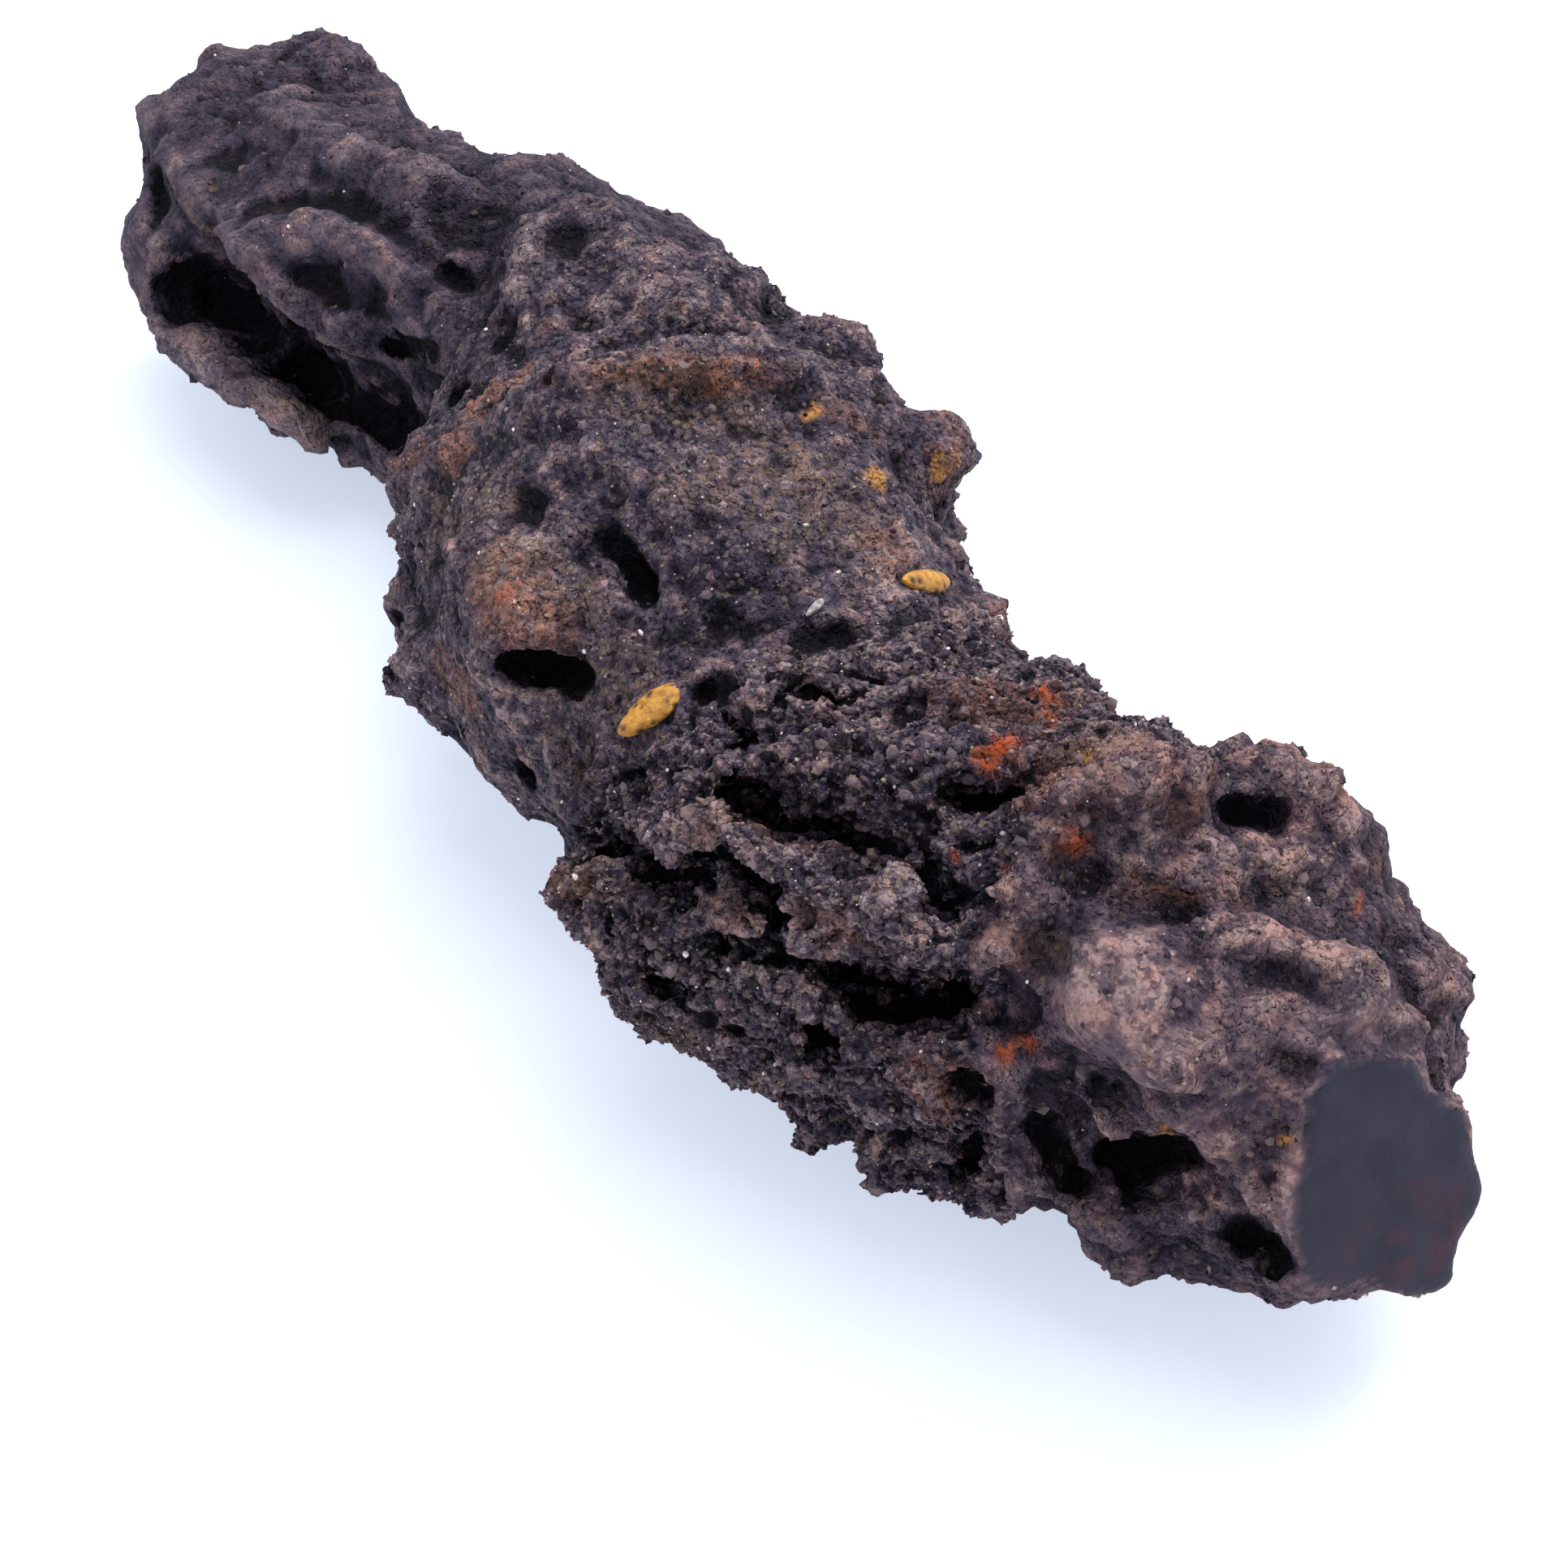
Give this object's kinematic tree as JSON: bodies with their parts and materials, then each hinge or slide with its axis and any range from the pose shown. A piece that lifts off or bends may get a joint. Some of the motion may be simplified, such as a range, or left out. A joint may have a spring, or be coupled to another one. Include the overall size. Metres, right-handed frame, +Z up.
{
  "type": "coprolite",
  "caption": "Petrified dropping: a lumpy, bent, sausage-shaped ironstone fossil in swollen segments, sheared flat at one end, lying on its flatter side.",
  "frame": {"origin": "on the surface that it rests on, under the middle of its bounding box", "axes": "+X along its length, towards the end that is sheared off flat; +Z up as it lies; +Y across it"},
  "size_m": [0.0798, 0.025, 0.0211],
  "materials": {
    "ironstone": "dull, gritty and uneven, with rust and ochre stains; smoother on the sheared tip"
  },
  "bodies": {
    "root": {"coprolite": "ironstone"}
  },
  "joints": []
}
